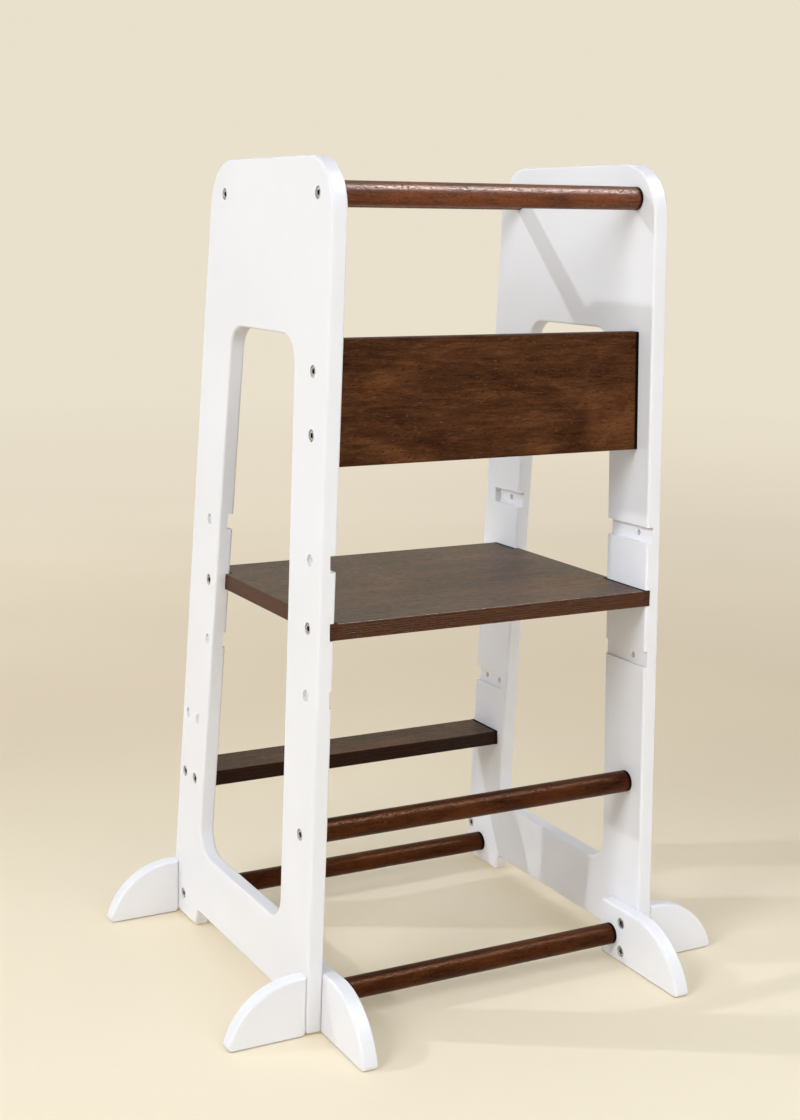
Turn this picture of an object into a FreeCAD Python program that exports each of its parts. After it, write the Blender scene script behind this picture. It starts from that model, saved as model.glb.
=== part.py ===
"""Toddler kitchen helper stool: two leaning side panels joined by rails, a guard board,
a height-adjustable standing platform and a rear step, on quarter-round feet.

Frame: millimetres, +Z up, X along the rails, the guard board at the front (-Y) and the
step at the back (+Y).  The origin is at the middle of the footprint, on the floor.
"""
import FreeCAD, Part
import Sketcher
import os
import sys

V = FreeCAD.Vector

# ---------------------------------------------------------------- driving dimensions
SIZES = {
    # side panels: one routed board each, leaning in towards the other
    "board_thickness": 18,      # panels, platform, step, guard board and feet
    "lean_angle": 1.5,          # degrees that each panel leans in
    "gap_at_floor": 410,        # between the panels' inner faces, at floor level
    "tower_height": 917,
    "floor_gap": 3,             # the panels hang clear of the floor, only the feet touch
    "panel_depth": 404.5,       # front edge to back edge, at floor level
    "front_rake": 10,           # how far the front edge comes forward up to the top
    "back_rake": 99.5,          # how far the back edge comes forward up to the top
    "top_radius": 55,
    "window_bottom": 100,
    "window_top_drop": 180,     # window's upper side, below the tower's top
    "window_radius": 30,
    "front_leg_low": 77,        # width of the front leg beside the window's lower corner
    "front_leg_high": 80,
    "back_leg_low": 76,
    "back_leg_high": 82,
    "arch_height": 24,
    "arch_front": 62,           # width of the front foot, from front edge to arch
    "arch_back": 77,            # width of the back foot, from back edge to arch
    "arch_draft": 7,            # how far the arch's ends slant in
    "arch_radius": 10,
    "edge_round": 3,            # round-over of the painted boards
    # rails
    "rail_diameter": 25,
    "top_rail_drop": 37,        # rail axis, below the tower's top
    "top_front_inset": 34,      # rail axis from the front edge
    "top_rear_inset": 41,       # rail axis from the back edge
    "lower_rail_height": 216,
    "lower_rail_inset": 31,
    "bottom_rail_height": 30,
    "bottom_front_inset": 29,
    "bottom_rear_inset": 35,
    # guard board
    "guard_drop": 180.5,        # board's top edge, below the tower's top
    "guard_height": 130,
    "guard_setback": 24,        # from the front edge, at the middle of the board
    "guard_bolt_spacing": 65,
    # standing platform, in the middle one of three pairs of grooves
    "platform_seat": 5,         # how far each end goes into the panel, middle grooves
    "platform_rear_inset": 31.5,    # from the panels' back edge, middle grooves
    "platform_level": 440,      # middle of the board, middle grooves
    "level_spacing": 71.5,
    "platform_bolt_inset": 27,
    # rear step, in the lower one of two pairs of grooves
    "step_seat": 4.4,           # how far each end goes into the panel, lower grooves
    "step_depth": 63,
    "step_level": 188,          # middle of the board, lower grooves
    "step_spacing": 76,
    "step_bolt_inset": 12.5,    # first bolt from the step's front face
    "step_bolt_spacing": 32,
    "groove_clearance": 0.5,
    "board_ease": 1.2,          # eased edges of the stained boards
    # feet
    "foot_height": 67,
    "foot_radius": 85,          # the feet's curved outline
    "foot_flat": 6.5,           # level stretch at the top of an outrigger
    "foot_tip": 5,              # rounding of the tip on the floor
    "toe_reach": 100,           # toes stand this far in front of the panels
    "toe_overlap": 48,          # toes lap this far over the panels
    "rear_foot_inset": 5,       # outrigger's back face from the panel's back edge
    "foot_bolt_low": 14,
    "foot_bolt_high": 49,
    # M6 socket bolts and threaded inserts
    "bolt_diameter": 5.8,
    "bolt_length": 30,
    "head_diameter": 12,
    "head_thickness": 3,
    "socket_width": 4,
    "socket_depth": 2,
    "hole_clearance": 0.6,      # round a bolt's shank, on each side
    "head_clearance": 0.5,      # round a bolt's head, on each side
    "head_recess": 0.5,         # heads lie this far below the board's face
    "insert_diameter": 9,
    "thread_clearance": 0.1,    # between a bolt and its insert, on each side
    "insert_length": 13,
    "insert_setback": 0.5,      # inserts sit this far below the end they are screwed into
    "insert_fit": 0.05,         # radial clearance of insert in its pilot hole
    "pocket_spare": 1.5,        # pilot hole runs on past the bolt's end
}

doc = FreeCAD.newDocument("HelperStool")
sheet = doc.addObject("Spreadsheet::Sheet", "Sizes")
for row, (size_name, size_value) in enumerate(SIZES.items(), start=1):
    sheet.set("A%d" % row, size_name)
    sheet.set("B%d" % row, str(size_value))
    sheet.setAlias("B%d" % row, size_name)
doc.recompute()

# ---------------------------------------------------------------- places, as formulas
LEAN = "tan(Sizes.lean_angle * 1deg)"
BOARD = "Sizes.board_thickness"
BOARD_ACROSS = "(Sizes.board_thickness / cos(Sizes.lean_angle * 1deg))"
CUT_THROUGH = 30.0      # how far a cutting tool sticks out past what it cuts


def front_edge(height):
    """Y of the panels' front edge at a height."""
    return ("((Sizes.toe_reach - Sizes.panel_depth) / 2"
            " - Sizes.front_rake * (%s) / Sizes.tower_height)" % height)


def back_edge(height):
    """Y of the panels' back edge at a height."""
    return ("((Sizes.toe_reach + Sizes.panel_depth) / 2"
            " - Sizes.back_rake * (%s) / Sizes.tower_height)" % height)


def inner_face(height):
    """Distance of a panel's inner face from the middle plane at a height."""
    return "(Sizes.gap_at_floor / 2 - (%s) * %s)" % (height, LEAN)


def outer_face(height):
    """Distance of a panel's outer face from the middle plane at a height."""
    return "(%s + %s)" % (inner_face(height), BOARD_ACROSS)


WINDOW_TOP = "(Sizes.tower_height - Sizes.window_top_drop)"
TOP_RAIL_HEIGHT = "(Sizes.tower_height - Sizes.top_rail_drop)"
PLATFORM_LEVELS = ["(Sizes.platform_level + (%d) * Sizes.level_spacing)" % n for n in (-1, 0, 1)]
PLATFORM_LENGTH = "(2 * (%s + Sizes.platform_seat))" % inner_face(PLATFORM_LEVELS[1])
PLATFORM_DEPTH = "(%s - %s - Sizes.platform_rear_inset)" % (back_edge(PLATFORM_LEVELS[1]),
                                                            front_edge(PLATFORM_LEVELS[1]))
PLATFORM_HOLES = ["Sizes.platform_bolt_inset",
                  "(%s - Sizes.platform_bolt_inset)" % PLATFORM_DEPTH]
STEP_LEVELS = ["(Sizes.step_level + (%d) * Sizes.step_spacing)" % n for n in (0, 1)]
STEP_LENGTH = "(2 * (%s + Sizes.step_seat))" % inner_face(STEP_LEVELS[0])
STEP_HOLES = ["(Sizes.step_bolt_inset + (%d) * Sizes.step_bolt_spacing)" % n for n in (0, 1)]
GUARD_BOTTOM = "(Sizes.tower_height - Sizes.guard_drop - Sizes.guard_height)"
GUARD_MIDDLE = "(%s + Sizes.guard_height / 2)" % GUARD_BOTTOM
GUARD_FRONT = "(%s + Sizes.guard_setback)" % front_edge(GUARD_MIDDLE)
GUARD_BOLTS = ["(%s + (%d) * Sizes.guard_bolt_spacing / 2)" % (GUARD_MIDDLE, n) for n in (-1, 1)]
FOOT_BOLTS = ["Sizes.foot_bolt_low", "Sizes.foot_bolt_high"]
FRONT_FOOT_Y = "(%s + %s / 2)" % (front_edge("0"), BOARD)
REAR_FOOT_Y = "(%s - Sizes.rear_foot_inset - %s / 2)" % (back_edge("0"), BOARD)
HOLE_RADIUS = "(Sizes.bolt_diameter / 2 + Sizes.hole_clearance)"
COUNTERBORE_RADIUS = "(Sizes.head_diameter / 2 + Sizes.head_clearance)"
COUNTERBORE_DEPTH = "(Sizes.head_thickness + Sizes.head_recess)"

# each rail: Y and Z of its axis
RAILS = {
    "top_front_rail": ("(%s + Sizes.top_front_inset)" % front_edge(TOP_RAIL_HEIGHT),
                       TOP_RAIL_HEIGHT),
    "top_rear_rail": ("(%s - Sizes.top_rear_inset)" % back_edge(TOP_RAIL_HEIGHT),
                      TOP_RAIL_HEIGHT),
    "lower_front_rail": ("(%s + Sizes.lower_rail_inset)" % front_edge("Sizes.lower_rail_height"),
                         "Sizes.lower_rail_height"),
    "bottom_front_rail": ("(%s + Sizes.bottom_front_inset)" % front_edge("Sizes.bottom_rail_height"),
                          "Sizes.bottom_rail_height"),
    "bottom_rear_rail": ("(%s - Sizes.bottom_rear_inset)" % back_edge("Sizes.bottom_rail_height"),
                         "Sizes.bottom_rail_height"),
}
SIDES = {"left": -1, "right": 1}


# ---------------------------------------------------------------- small builders
def bind(obj, **formulas):
    """Tie properties to the sheet; a double underscore stands for a dot."""
    for name, formula in formulas.items():
        obj.setExpression(name.replace("__", "."), formula)


def place(obj, x="0", y="0", z="0"):
    obj.setExpression("Placement.Base.x", x)
    obj.setExpression("Placement.Base.y", y)
    obj.setExpression("Placement.Base.z", z)


def own_plane(body, role):
    return [f for f in body.Origin.OriginFeatures if f.Role == role][0]


def corner_sketch(body, name, role, corners):
    """A closed outline of straight lines whose corners are formulas (across, up)."""
    sketch = body.newObject("Sketcher::SketchObject", name)
    sketch.AttachmentSupport = [(own_plane(body, role), "")]
    sketch.MapMode = "FlatFace"
    add_outline(sketch, corners)
    return sketch


def value_of(formula):
    """The number that a formula stands for now, to start a sketch close to its shape."""
    return float(sheet.evalExpression(formula))


def add_outline(sketch, corners):
    points = [V(value_of(a), value_of(b), 0) for a, b in corners]
    count = len(points)
    lines = [sketch.addGeometry(Part.LineSegment(points[i], points[(i + 1) % count]), False)
             for i in range(count)]
    for i, line in enumerate(lines):
        sketch.addConstraint(Sketcher.Constraint("Coincident", line, 2, lines[(i + 1) % count], 1))
    for i, line in enumerate(lines):
        for kind, formula, number in (("DistanceX", corners[i][0], points[i].x),
                                      ("DistanceY", corners[i][1], points[i].y)):
            place_at = sketch.addConstraint(Sketcher.Constraint(kind, -1, 1, line, 1, number))
            sketch.setExpression("Constraints[%d]" % place_at, formula)


def edges_where(shape, test):
    return ["Edge%d" % (i + 1) for i, edge in enumerate(shape.Edges) if test(edge)]


def runs_along(edge, axis):
    """True for a straight edge parallel to an axis."""
    if edge.Curve.TypeId != "Part::GeomLine":
        return False
    way = edge.Vertexes[1].Point - edge.Vertexes[0].Point
    return abs(way.normalize().dot(axis)) > 0.999


def near(edge, across, up, axes, reach=0.6):
    """True for an edge that runs through the point (across, up) of its sketch."""
    point = edge.Vertexes[0].Point
    return abs(point.dot(axes[0]) - across) < reach and abs(point.dot(axes[1]) - up) < reach


def fillet(body, base, name, names, radius):
    feature = body.newObject("PartDesign::Fillet", name)
    feature.Base = (base, names)
    bind(feature, Radius=radius)
    doc.recompute()
    return feature


def rod(name, side, start, y, z, radius, length):
    """A cylinder along X on one side of the tower: it starts at a distance from the middle
    plane and runs outwards."""
    cylinder = doc.addObject("Part::Cylinder", name)
    cylinder.Placement = FreeCAD.Placement(V(0, 0, 0), FreeCAD.Rotation(V(0, side, 0), 90))
    bind(cylinder, Radius=radius, Height=length)
    place(cylinder, "(%d) * (%s)" % (side, start), y, z)
    return cylinder


def block(name, x, y, z, length, width, height):
    box = doc.addObject("Part::Box", name)
    bind(box, Length=length, Width=width, Height=height)
    place(box, x, y, z)
    return box


def cut(label, base, tools):
    """The base with every tool taken away, labelled as the finished piece."""
    joined = doc.addObject("Part::MultiFuse", label + "_cutters")
    joined.Shapes = tools
    result = doc.addObject("Part::Cut", label)
    result.Base = base
    result.Tool = joined
    result.Label = label
    return result


def lean_over(obj, side):
    """Stand a body that was drawn upright on the leaning inner face of a panel."""
    obj.Placement = FreeCAD.Placement(V(0, 0, 0), FreeCAD.Rotation(V(0, -side, 0), 1))
    bind(obj, Placement__Rotation__Angle="Sizes.lean_angle * 1deg")
    place(obj, "(%d) * Sizes.gap_at_floor / 2" % side)


def tip_depth(end, floor, length):
    """How deep a bolt reaches past the end that it holds, plus the spare of its pilot hole."""
    return "(%s - (%s - (%s)) + Sizes.pocket_spare)" % (length, floor, end)


finished = []


def keep(obj):
    finished.append(obj)
    return obj


# ---------------------------------------------------------------- side panels
ACROSS_UP = (V(0, 1, 0), V(0, 0, 1))


def panel_corners():
    floor = "Sizes.floor_gap"
    arch = "Sizes.arch_height"
    top = "Sizes.tower_height"
    return [
        (front_edge(floor), floor),
        ("%s + Sizes.arch_front" % front_edge("0"), floor),
        ("%s + Sizes.arch_front + Sizes.arch_draft" % front_edge("0"), arch),
        ("%s - Sizes.arch_back - Sizes.arch_draft" % back_edge("0"), arch),
        ("%s - Sizes.arch_back" % back_edge("0"), floor),
        (back_edge(floor), floor),
        (back_edge(top), top),
        (front_edge(top), top),
    ]


def window_corners():
    low, high = "Sizes.window_bottom", WINDOW_TOP
    return [
        ("%s + Sizes.front_leg_low" % front_edge(low), low),
        ("%s - Sizes.back_leg_low" % back_edge(low), low),
        ("%s - Sizes.back_leg_high" % back_edge(high), high),
        ("%s + Sizes.front_leg_high" % front_edge(high), high),
    ]


def panel_blank(name, side):
    """The routed board: outline, window, rounded corners, rounded-over edges."""
    body = doc.addObject("PartDesign::Body", name + "_board")
    outline = panel_corners()
    window = window_corners()
    sketch = corner_sketch(body, name + "_outline", "YZ_Plane", outline)
    add_outline(sketch, window)
    pad = body.newObject("PartDesign::Pad", name + "_pad")
    pad.Profile = sketch
    pad.Reversed = side < 0
    bind(pad, Length=BOARD)
    doc.recompute()
    feature = pad
    groups = (("top", outline[6:], "Sizes.top_radius"),
              ("window", window, "Sizes.window_radius"),
              ("arch", outline[2:4], "Sizes.arch_radius"))
    for group, corners, radius in groups:
        spots = [(value_of(a), value_of(b)) for a, b in corners]
        names = edges_where(feature.Shape, lambda e: runs_along(e, V(1, 0, 0)) and any(
            near(e, a, b, ACROSS_UP) for a, b in spots))
        feature = fillet(body, feature, "%s_%s_corners" % (name, group), names, radius)
    faces_x = (0.0, side * value_of(BOARD))
    names = edges_where(feature.Shape, lambda e: any(
        abs(e.BoundBox.XMin - x) < 1e-6 and abs(e.BoundBox.XMax - x) < 1e-6 for x in faces_x))
    fillet(body, feature, name + "_round_over", names, "Sizes.edge_round")
    lean_over(body, side)
    return body


def counterbore_floor(z):
    """Distance from the middle plane of the floor of a counterbore in a panel's outer face."""
    return "(%s - %s)" % (outer_face(z), COUNTERBORE_DEPTH)


def bolt_hole(tag, side, y, z, from_outside=True):
    """Clearance hole through a panel, counterbored for the bolt's head."""
    through = rod(tag + "_hole", side, "%s - %g" % (inner_face(z), CUT_THROUGH), y, z,
                  HOLE_RADIUS, "%s + %g" % (BOARD_ACROSS, 2 * CUT_THROUGH))
    if from_outside:
        start = counterbore_floor(z)
    else:
        start = "%s + %s - %g" % (inner_face(z), COUNTERBORE_DEPTH, CUT_THROUGH)
    seat = rod(tag + "_counterbore", side, start, y, z, COUNTERBORE_RADIUS, "%g" % CUT_THROUGH)
    return [through, seat]


def groove(tag, side, bottom, y_from, y_to, level):
    """A groove with an upright bottom, so that a square board end seats in a leaning panel."""
    start = "(%s)" % bottom if side < 0 else "(%s - %g)" % (bottom, CUT_THROUGH)
    x = "-%s" % start if side < 0 else start
    return block(tag, x, y_from, "%s - (%s + Sizes.groove_clearance) / 2" % (level, BOARD),
                 "%g" % CUT_THROUGH, "(%s) - (%s)" % (y_to, y_from),
                 "%s + Sizes.groove_clearance" % BOARD)


def side_panel(name, side):
    tools = []
    for n, level in enumerate(PLATFORM_LEVELS):
        front = front_edge(level)
        tools.append(groove("%s_platform_groove_%d" % (name, n), side,
                            "%s / 2 + Sizes.groove_clearance" % PLATFORM_LENGTH,
                            "%s - %g" % (front, CUT_THROUGH),
                            "%s + %s + Sizes.groove_clearance" % (front, PLATFORM_DEPTH), level))
        for k, inset in enumerate(PLATFORM_HOLES):
            tools += bolt_hole("%s_platform_%d_%d" % (name, n, k), side,
                               "%s + %s" % (front, inset), level)
    for n, level in enumerate(STEP_LEVELS):
        step_front = "(%s - Sizes.step_depth)" % back_edge(level)
        tools.append(groove("%s_step_groove_%d" % (name, n), side,
                            "%s / 2 + Sizes.groove_clearance" % STEP_LENGTH,
                            "%s - Sizes.groove_clearance" % step_front,
                            "%s + %g" % (back_edge(level), CUT_THROUGH), level))
        for k, inset in enumerate(STEP_HOLES):
            tools += bolt_hole("%s_step_%d_%d" % (name, n, k), side,
                               "%s + %s" % (step_front, inset), level)
    for n, height in enumerate(GUARD_BOLTS):
        tools += bolt_hole("%s_guard_%d" % (name, n), side,
                           "%s + %s / 2" % (GUARD_FRONT, BOARD), height)
    for rail, (y, z) in RAILS.items():
        tools += bolt_hole("%s_%s" % (name, rail), side, y, z)
    for n, height in enumerate(FOOT_BOLTS):
        tools.append(bolt_hole("%s_front_foot_%d" % (name, n), side, FRONT_FOOT_Y, height)[0])
        tools += bolt_hole("%s_rear_foot_%d" % (name, n), side, REAR_FOOT_Y, height, False)
    return cut(name, panel_blank(name, side), tools)


# ---------------------------------------------------------------- space between the panels
def space_between(name, margin="0"):
    """The upright-sided wedge between the leaning panels; boards and rails end on its sides."""
    body = doc.addObject("PartDesign::Body", name)
    low = "(Sizes.gap_at_floor / 2 - (%s))" % margin
    high = "(%s - (%s))" % (inner_face("Sizes.tower_height"), margin)
    corners = [("-" + low, "0"), (low, "0"),
               (high, "Sizes.tower_height"), ("-" + high, "Sizes.tower_height")]
    sketch = corner_sketch(body, name + "_outline", "XZ_Plane", corners)
    pad = body.newObject("PartDesign::Pad", name + "_pad")
    pad.Profile = sketch
    pad.Midplane = True
    bind(pad, Length="2 * Sizes.panel_depth")
    return body


def common(label, base, limits, tools):
    """A long blank trimmed to the space it fills, with its pilot holes taken out."""
    trimmed = doc.addObject("Part::Common", label + "_trimmed")
    trimmed.Base = base
    trimmed.Tool = limits
    return cut(label, trimmed, tools)


def pilot_hole(tag, side, end, y, z, depth):
    """A blind hole for an insert, from an end face towards the middle plane."""
    return rod(tag + "_pilot", side, "(%s) - (%s)" % (end, depth), y, z,
               "Sizes.insert_diameter / 2 + Sizes.insert_fit", "(%s) + %g" % (depth, CUT_THROUGH))


# ---------------------------------------------------------------- fasteners
def bolt(tag, side, floor, y, z, length, inwards=True):
    """Socket-head bolt.  Its head lies in a counterbore whose floor is at a distance from the
    middle plane, and its shank runs inwards from there, or outwards."""
    if inwards:
        shank_start = "(%s) - (%s)" % (floor, length)
        head_start = floor
        socket_start = "(%s) + Sizes.head_thickness - Sizes.socket_depth" % floor
    else:
        shank_start = floor
        head_start = "(%s) - Sizes.head_thickness" % floor
        socket_start = head_start
    shank = rod(tag + "_shank", side, shank_start, y, z, "Sizes.bolt_diameter / 2", length)
    head = rod(tag + "_head", side, head_start, y, z, "Sizes.head_diameter / 2",
               "Sizes.head_thickness")
    socket = doc.addObject("Part::Prism", tag + "_socket")
    socket.Polygon = 6
    socket.Placement = FreeCAD.Placement(V(0, 0, 0), FreeCAD.Rotation(V(0, side, 0), 90))
    bind(socket, Circumradius="Sizes.socket_width / sqrt(3)", Height="Sizes.socket_depth")
    place(socket, "(%d) * (%s)" % (side, socket_start), y, z)
    joined = doc.addObject("Part::MultiFuse", tag + "_blank")
    joined.Shapes = [head, shank]
    result = doc.addObject("Part::Cut", tag)
    result.Base = joined
    result.Tool = socket
    return result


def insert(tag, side, end, y, z, inwards=True):
    """Threaded insert, just below the end face that it is screwed into.  It lies on the inward
    side of that face, or on the outward side."""
    start = ("(%s) - Sizes.insert_setback - Sizes.insert_length" if inwards
             else "(%s) + Sizes.insert_setback") % end
    sleeve = rod(tag + "_sleeve", side, start, y, z, "Sizes.insert_diameter / 2",
                 "Sizes.insert_length")
    bore = rod(tag + "_bore", side, "%s - %g" % (start, CUT_THROUGH), y, z,
               "Sizes.bolt_diameter / 2 + Sizes.thread_clearance",
               "Sizes.insert_length + %g" % (2 * CUT_THROUGH))
    result = doc.addObject("Part::Cut", tag)
    result.Base = sleeve
    result.Tool = bore
    return result


def group(label, pieces):
    """Identical small pieces kept together in one node, as separate solids."""
    together = doc.addObject("Part::Compound", label)
    together.Links = pieces
    together.Label = label
    return keep(together)


# ---------------------------------------------------------------- rails
LONG_BOLT = "(Sizes.bolt_length + %s)" % BOARD      # goes through a toe as well as a panel


def rail(name, y, z, limits, end, length):
    """A dowel between the panels, with a pilot hole in each end."""
    blank = doc.addObject("Part::Cylinder", name + "_dowel")
    blank.Placement = FreeCAD.Placement(V(0, 0, 0), FreeCAD.Rotation(V(0, 1, 0), 90))
    bind(blank, Radius="Sizes.rail_diameter / 2", Height="Sizes.gap_at_floor")
    place(blank, "-Sizes.gap_at_floor / 2", y, z)
    depth = tip_depth(end, counterbore_floor(z), length)
    tools = [pilot_hole("%s_%s" % (name, hand), side, end, y, z, depth)
             for hand, side in SIDES.items()]
    return keep(common(name, blank, limits, tools))


def build_rails(between_panels, between_toes):
    for name, (y, z) in RAILS.items():
        at_toes = name == "bottom_front_rail"
        limits = between_toes if at_toes else between_panels
        end = "(%s - %s)" % (inner_face(z), BOARD_ACROSS) if at_toes else inner_face(z)
        rail(name, y, z, limits, end, LONG_BOLT if at_toes else "Sizes.bolt_length")
    bolts = {"top_rail_bolts": ("top_front_rail", "top_rear_rail"),
             "lower_rail_bolts": ("lower_front_rail",),
             "bottom_front_rail_bolts": ("bottom_front_rail",),
             "bottom_rear_rail_bolts": ("bottom_rear_rail",)}
    for label, rails in bolts.items():
        length = LONG_BOLT if label == "bottom_front_rail_bolts" else "Sizes.bolt_length"
        group(label, [bolt("%s_%s_bolt" % (r, hand), side, counterbore_floor(RAILS[r][1]),
                           RAILS[r][0], RAILS[r][1], length)
                      for r in rails for hand, side in SIDES.items()])
    inserts = {"top_rail_inserts": ("top_front_rail", "top_rear_rail"),
               "lower_rail_inserts": ("lower_front_rail",),
               "bottom_rail_inserts": ("bottom_front_rail", "bottom_rear_rail")}
    for label, rails in inserts.items():
        pieces = []
        for r in rails:
            y, z = RAILS[r]
            end = inner_face(z)
            if r == "bottom_front_rail":
                end = "(%s - %s)" % (end, BOARD_ACROSS)
            pieces += [insert("%s_%s_insert" % (r, hand), side, end, y, z)
                       for hand, side in SIDES.items()]
        group(label, pieces)


# ---------------------------------------------------------------- boards between the panels
def board(name, width, depth, height):
    """A plain board with eased edges, drawn as a plan and padded up from its underside."""
    body = doc.addObject("PartDesign::Body", name + "_board")
    corners = [("-(%s) / 2" % width, "0"), ("(%s) / 2" % width, "0"),
               ("(%s) / 2" % width, depth), ("-(%s) / 2" % width, depth)]
    sketch = corner_sketch(body, name + "_plan", "XY_Plane", corners)
    pad = body.newObject("PartDesign::Pad", name + "_pad")
    pad.Profile = sketch
    bind(pad, Length=height)
    doc.recompute()
    names = edges_where(pad.Shape, lambda e: runs_along(e, V(1, 0, 0)))
    fillet(body, pad, name + "_ease", names, "Sizes.board_ease")
    return body


def guard_board(between_panels):
    blank = board("guard_board", "Sizes.gap_at_floor", BOARD, "Sizes.guard_height")
    place(blank, "0", GUARD_FRONT, GUARD_BOTTOM)
    bolt_y = "%s + %s / 2" % (GUARD_FRONT, BOARD)
    tools, bolts, inserts = [], [], []
    for n, z in enumerate(GUARD_BOLTS):
        floor, end = counterbore_floor(z), inner_face(z)
        for hand, side in SIDES.items():
            tag = "guard_%s_%d" % (hand, n)
            tools.append(pilot_hole(tag, side, end, bolt_y, z,
                                    tip_depth(end, floor, "Sizes.bolt_length")))
            bolts.append(bolt(tag + "_bolt", side, floor, bolt_y, z, "Sizes.bolt_length"))
            inserts.append(insert(tag + "_insert", side, end, bolt_y, z))
    keep(common("guard_board", blank, between_panels, tools))
    group("guard_bolts", bolts)
    group("guard_inserts", inserts)


def seated_board(name, length, depth, front, level, holes):
    """A board whose square ends sit in the panels' grooves, with its bolts and inserts."""
    blank = board(name, length, depth, BOARD)
    place(blank, "0", front, "%s - %s / 2" % (level, BOARD))
    end = "%s / 2" % length
    floor = counterbore_floor(level)
    tools, bolts, inserts = [], [], []
    for n, inset in enumerate(holes):
        y = "%s + %s" % (front, inset)
        for hand, side in SIDES.items():
            tag = "%s_%s_%d" % (name, hand, n)
            tools.append(pilot_hole(tag, side, end, y, level,
                                    tip_depth(end, floor, "Sizes.bolt_length")))
            bolts.append(bolt(tag + "_bolt", side, floor, y, level, "Sizes.bolt_length"))
            inserts.append(insert(tag + "_insert", side, end, y, level))
    keep(cut(name, blank, tools))
    group(name + "_bolts", bolts)
    group(name + "_inserts", inserts)


def platform_and_step():
    level = PLATFORM_LEVELS[1]
    seated_board("platform", PLATFORM_LENGTH, PLATFORM_DEPTH, front_edge(level), level,
                 PLATFORM_HOLES)
    level = STEP_LEVELS[0]
    seated_board("step", STEP_LENGTH, "Sizes.step_depth",
                 "(%s - Sizes.step_depth)" % back_edge(level), level, STEP_HOLES)


# ---------------------------------------------------------------- feet
# from the end of a foot's level top to its rounded tip, on the floor
CURVE_REACH = ("(((Sizes.foot_radius - Sizes.foot_tip) ^ 2"
               " - (Sizes.foot_radius - Sizes.foot_height + Sizes.foot_tip) ^ 2) ^ 0.5"
               " + Sizes.foot_tip)")


def foot_outline(sketch, top, end_lean, hand):
    """A quarter-round foot: floor line, arc from the tip up to a level top, end face.

    The end face starts from 0 on the floor and leans back by end_lean at the top, the level
    top reaches to top on the other side, and hand turns the outline round."""
    radius = value_of("Sizes.foot_radius")
    height = value_of("Sizes.foot_height")
    flat = value_of(top)
    reach = flat + (radius ** 2 - (radius - height) ** 2) ** 0.5
    centre = V(hand * flat, height - radius, 0)
    tip = V(hand * reach, 0, 0)
    crown = V(hand * flat, height, 0)
    heel = V(0, 0, 0)
    shoulder = V(-hand * value_of(end_lean), height, 0)
    halfway = radius * 0.5 ** 0.5
    middle = V(centre.x + hand * halfway, centre.y + halfway, 0)
    line = Part.LineSegment
    sole = sketch.addGeometry(line(heel, tip), False)
    curve = sketch.addGeometry(Part.Arc(tip, middle, crown), False)
    level = sketch.addGeometry(line(crown, shoulder), False)
    end = sketch.addGeometry(line(shoulder, heel), False)
    # an arc is kept counter-clockwise, so its ends change places when the outline is turned
    at_tip, at_crown = (1, 2) if hand > 0 else (2, 1)
    join = Sketcher.Constraint
    sketch.addConstraint(join("Coincident", sole, 2, curve, at_tip))
    sketch.addConstraint(join("Coincident", curve, at_crown, level, 1))
    sketch.addConstraint(join("Coincident", level, 2, end, 1))
    sketch.addConstraint(join("Coincident", end, 2, sole, 1))
    sketch.addConstraint(join("PointOnObject", sole, 2, -1))
    sketch.addConstraint(join("Radius", curve, radius))
    sketch.setExpression("Constraints[5]", "Sizes.foot_radius")
    bound = (("DistanceX", curve, 3, centre.x, "(%d) * (%s)" % (hand, top)),
             ("DistanceY", curve, 3, centre.y, "Sizes.foot_height - Sizes.foot_radius"),
             ("DistanceX", level, 1, crown.x, "(%d) * (%s)" % (hand, top)),
             ("DistanceX", level, 2, shoulder.x, "(%d) * (%s)" % (-hand, end_lean)),
             ("DistanceY", level, 2, shoulder.y, "Sizes.foot_height"))
    for kind, shape, point, number, formula in bound:
        spot = sketch.addConstraint(join(kind, -1, 1, shape, point, number))
        sketch.setExpression("Constraints[%d]" % spot, formula)
    sketch.addConstraint(join("DistanceX", -1, 1, end, 2, heel.x))
    sketch.addConstraint(join("DistanceY", -1, 1, end, 2, heel.y))


def foot_blank(name, role, reverse, top, end_lean, hand, across):
    """Pad of the foot's outline, with a rounded tip and round-overs along its curved edges."""
    body = doc.addObject("PartDesign::Body", name + "_board")
    sketch = body.newObject("Sketcher::SketchObject", name + "_outline")
    sketch.AttachmentSupport = [(own_plane(body, role), "")]
    sketch.MapMode = "FlatFace"
    foot_outline(sketch, top, end_lean, hand)
    pad = body.newObject("PartDesign::Pad", name + "_pad")
    pad.Profile = sketch
    pad.Reversed = reverse
    bind(pad, Length=BOARD)
    doc.recompute()
    tip = edges_where(pad.Shape, lambda e: runs_along(e, across) and e.BoundBox.ZMax < 1e-3
                      and abs(e.BoundBox.Center.x + e.BoundBox.Center.y) > value_of(top) + 1)
    rounded = fillet(body, pad, name + "_tip", tip, "Sizes.foot_tip")
    height = value_of("Sizes.foot_height")
    names = edges_where(rounded.Shape, lambda e: e.Curve.TypeId == "Part::GeomCircle"
                        or (e.BoundBox.ZMin > height - 1e-3 and not runs_along(e, across)))
    fillet(body, rounded, name + "_round_over", names, "Sizes.edge_round")
    return body


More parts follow.
